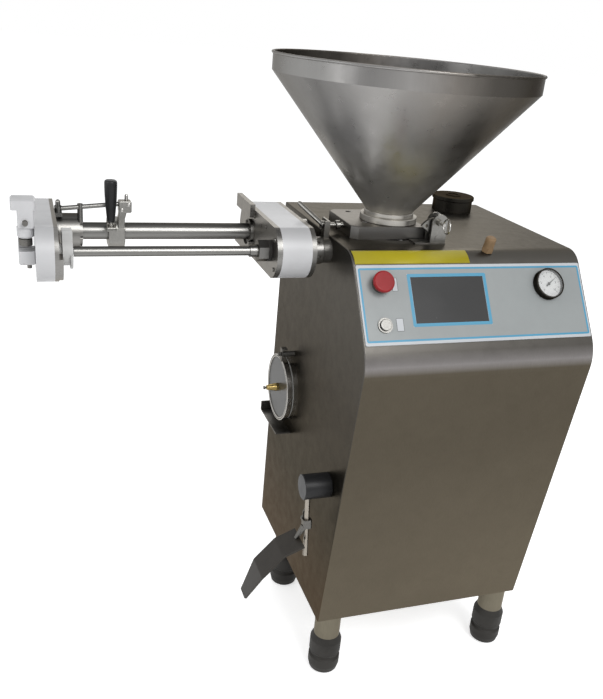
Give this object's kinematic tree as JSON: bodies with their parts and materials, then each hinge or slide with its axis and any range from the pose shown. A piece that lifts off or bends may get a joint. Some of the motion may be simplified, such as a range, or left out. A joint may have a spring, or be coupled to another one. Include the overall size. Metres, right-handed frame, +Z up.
{
  "type": "vacuum sausage filler",
  "caption": "Floor-standing vacuum sausage filler with a cone hopper, a sloping control panel, a knee switch and a linker arm with two belt cases and a casing brake.",
  "frame": {"origin": "on the floor, in the middle of the whole machine's box", "axes": "+Z up, the control panel faces -Y, the linker arm reaches to -X"},
  "size_m": [1.051, 0.5128, 1.265],
  "materials": {
    "cabinet_shell": "satin stainless steel",
    "rear_cover": "satin stainless steel",
    "foot_sleeves": "grey paint",
    "rubber_feet": "black rubber",
    "hopper": "polished stainless sheet",
    "pump_lid": "cast and machined stainless steel",
    "lid_brackets": "cast and machined stainless steel",
    "hinge_pin": "cast and machined stainless steel",
    "lock_plunger": "polished stainless steel",
    "clamp_screw": "polished stainless steel",
    "pump_housing": "cast and machined stainless steel",
    "pump_rotor": "cast and machined stainless steel",
    "pump_vanes": "food-grade plastic",
    "drive_motors": "painted cast metal",
    "inner_frame": "satin stainless steel",
    "vacuum_pump": "painted cast metal",
    "vacuum_pot": "satin stainless steel",
    "pot_gasket": "white rubber",
    "pot_lid": "clear acrylic plate",
    "release_valve": "nickel-plated brass",
    "valve_button": "polished stainless steel",
    "pot_fittings": "cast and machined stainless steel",
    "lid_latch": "cast and machined stainless steel",
    "knee_hub": "cast and machined stainless steel",
    "knee_rod": "polished stainless steel",
    "rod_clamp": "cast and machined stainless steel",
    "knee_paddle": "satin stainless steel",
    "wing_screw": "black plastic wings",
    "control_overlay": "printed grey film with a blue border",
    "touch_screen": "lit screen",
    "gauge_case": "polished stainless steel",
    "gauge_needle": "black paint",
    "gauge_glass": "clear glass",
    "button_collars": "polished stainless steel",
    "estop_head": "red plastic",
    "button_cap": "polished stainless steel",
    "vent_neck": "satin stainless steel",
    "vent_cap": "satin stainless steel",
    "silencer": "sintered bronze",
    "outlet_pipe": "polished stainless steel",
    "ring_nut": "polished stainless steel",
    "near_plates": "cast and machined stainless steel",
    "near_belt_case": "white plastic",
    "near_belt": "black rubber",
    "far_belt": "black rubber",
    "main_tube": "polished stainless steel",
    "linker_shaft": "satin stainless steel",
    "nozzle": "polished stainless steel",
    "seal_ring": "black plastic",
    "far_belt_case": "white plastic",
    "far_plates": "cast and machined stainless steel",
    "head_drum": "cast and machined stainless steel",
    "casing_guide": "white plastic",
    "lever_collar": "cast and machined stainless steel",
    "push_rod": "polished stainless steel",
    "handle_grip": "black plastic",
    "brake_body": "white plastic",
    "brake_stem": "cast and machined stainless steel",
    "brake_knob": "white plastic",
    "brake_pulley": "white plastic"
  },
  "bodies": {
    "machine": {"cabinet_shell": "cabinet_shell", "rear_cover": "rear_cover", "foot_sleeves": "foot_sleeves", "rubber_feet": "rubber_feet", "inner_frame": "inner_frame", "drive_motors": "drive_motors", "pump_housing": "pump_housing", "vacuum_pump": "vacuum_pump", "vacuum_pot": "vacuum_pot", "pot_gasket": "pot_gasket", "pot_fittings": "pot_fittings", "lid_brackets": "lid_brackets", "control_overlay": "control_overlay", "touch_screen": "touch_screen", "gauge_case": "gauge_case", "gauge_glass": "gauge_glass", "button_collars": "button_collars", "vent_neck": "vent_neck", "silencer": "silencer", "outlet_pipe": "outlet_pipe", "ring_nut": "ring_nut", "near_plates": "near_plates", "near_belt_case": "near_belt_case", "near_belt": "near_belt", "main_tube": "main_tube"},
    "hopper_lid": {"hopper": "hopper", "pump_lid": "pump_lid", "hinge_pin": "hinge_pin"},
    "plunger": {"lock_plunger": "lock_plunger"},
    "clamp": {"clamp_screw": "clamp_screw"},
    "vent_cap": {"vent_cap": "vent_cap"},
    "needle": {"gauge_needle": "gauge_needle"},
    "emergency_stop": {"estop_head": "estop_head"},
    "push_button": {"button_cap": "button_cap"},
    "pot_lid": {"pot_lid": "pot_lid", "release_valve": "release_valve"},
    "valve_button": {"valve_button": "valve_button"},
    "latch": {"lid_latch": "lid_latch"},
    "knee_switch": {"knee_hub": "knee_hub", "knee_rod": "knee_rod", "rod_clamp": "rod_clamp", "knee_paddle": "knee_paddle"},
    "wing_screw": {"wing_screw": "wing_screw"},
    "rotor": {"pump_rotor": "pump_rotor", "pump_vanes": "pump_vanes"},
    "linker_shaft": {"linker_shaft": "linker_shaft"},
    "nozzle": {"nozzle": "nozzle", "seal_ring": "seal_ring"},
    "linker_head": {"far_belt_case": "far_belt_case", "far_plates": "far_plates", "far_belt": "far_belt", "head_drum": "head_drum", "casing_guide": "casing_guide", "lever_collar": "lever_collar", "push_rod": "push_rod", "brake_body": "brake_body", "brake_stem": "brake_stem"},
    "brake_pulley": {"brake_pulley": "brake_pulley"},
    "grip": {"handle_grip": "handle_grip"},
    "brake_knob": {"brake_knob": "brake_knob"}
  },
  "joints": [
    {"name": "hopper_tilt", "type": "hinge", "parent": "machine", "child": "hopper_lid", "pos_m": [0.2405, 0.00144, 0.95765], "axis": [0, 1, 0], "range_deg": [0, 45]},
    {"name": "plunger_pull", "type": "slide", "parent": "machine", "child": "plunger", "axis": [0, -1, 0], "range_m": [0, 0.008], "stiffness_N_per_m": 300, "springref_m": -0.006},
    {"name": "clamp_turn", "type": "hinge", "parent": "machine", "child": "clamp", "pos_m": [0.0455, -0.00656, 0.961], "axis": [1, 0, 0], "range_deg": [0, 100]},
    {"name": "vent_cap_lift", "type": "slide", "parent": "machine", "child": "vent_cap", "axis": [0, 0, 1], "range_m": [0, 0.03]},
    {"name": "needle_turn", "type": "hinge", "parent": "machine", "child": "needle", "pos_m": [0.4405, -0.18691, 0.89448], "axis": [0, -0.8161, 0.5779], "range_deg": [-80, 190], "stiffness_Nm_per_rad": 0.002},
    {"name": "estop_press", "type": "slide", "parent": "machine", "child": "emergency_stop", "axis": [0, 0.8161, -0.5779], "range_m": [0, 0.004], "stiffness_N_per_m": 500, "springref_m": -0.004},
    {"name": "button_press", "type": "slide", "parent": "machine", "child": "push_button", "axis": [0, 0.8161, -0.5779], "range_m": [0, 0.002], "stiffness_N_per_m": 400, "springref_m": -0.003},
    {"name": "lid_pull", "type": "slide", "parent": "machine", "child": "pot_lid", "axis": [-1, 0, 0], "range_m": [0, 0.08]},
    {"name": "valve_press", "type": "slide", "parent": "pot_lid", "child": "valve_button", "axis": [1, 0, 0], "range_m": [0, 0.003], "stiffness_N_per_m": 300, "springref_m": -0.002},
    {"name": "latch_swing", "type": "hinge", "parent": "machine", "child": "latch", "pos_m": [0.0175, 0.11444, 0.641], "axis": [1, 0, 0], "range_deg": [0, 100]},
    {"name": "knee_swing", "type": "hinge", "parent": "machine", "child": "knee_switch", "pos_m": [0.0175, -0.15486, 0.472], "axis": [1, 0, 0], "range_deg": [0, 15], "stiffness_Nm_per_rad": 2, "springref_deg": -28.65},
    {"name": "wing_screw_turn", "type": "hinge", "parent": "knee_switch", "child": "wing_screw", "pos_m": [0.0035, -0.16572, 0.39375], "axis": [0, 1, 0], "range_deg": [-90, 90]},
    {"name": "pump_spin", "type": "hinge", "parent": "machine", "child": "rotor", "pos_m": [0.1835, 0.00144, 0.9], "axis": [0, 0, 1], "continuous": true},
    {"name": "linker_spin", "type": "hinge", "parent": "machine", "child": "linker_shaft", "pos_m": [-0.2545, 0.11244, 0.9165], "axis": [1, 0, 0], "continuous": true},
    {"name": "nozzle_spin", "type": "hinge", "parent": "machine", "child": "nozzle", "pos_m": [-0.2545, -0.02756, 0.9165], "axis": [1, 0, 0], "continuous": true},
    {"name": "head_swing", "type": "hinge", "parent": "machine", "child": "linker_head", "pos_m": [-0.2545, 0.11244, 0.9165], "axis": [-1, 0, 0], "range_deg": [0, 100]},
    {"name": "brake_spin", "type": "hinge", "parent": "linker_head", "child": "brake_pulley", "pos_m": [-0.2545, -0.02756, 0.9165], "axis": [1, 0, 0], "continuous": true},
    {"name": "grip_spin", "type": "hinge", "parent": "linker_head", "child": "grip", "pos_m": [-0.3515, 0.07644, 0.975], "axis": [0, 0, 1], "continuous": true},
    {"name": "brake_knob_turn", "type": "hinge", "parent": "linker_head", "child": "brake_knob", "pos_m": [-0.503, -0.02756, 0.95], "axis": [0, 0, 1], "range_deg": [0, 180]}
  ],
  "couplings": [
    {"joint": "nozzle_spin", "follows": "linker_spin", "ratio": 1},
    {"joint": "brake_spin", "follows": "linker_spin", "ratio": 1}
  ]
}
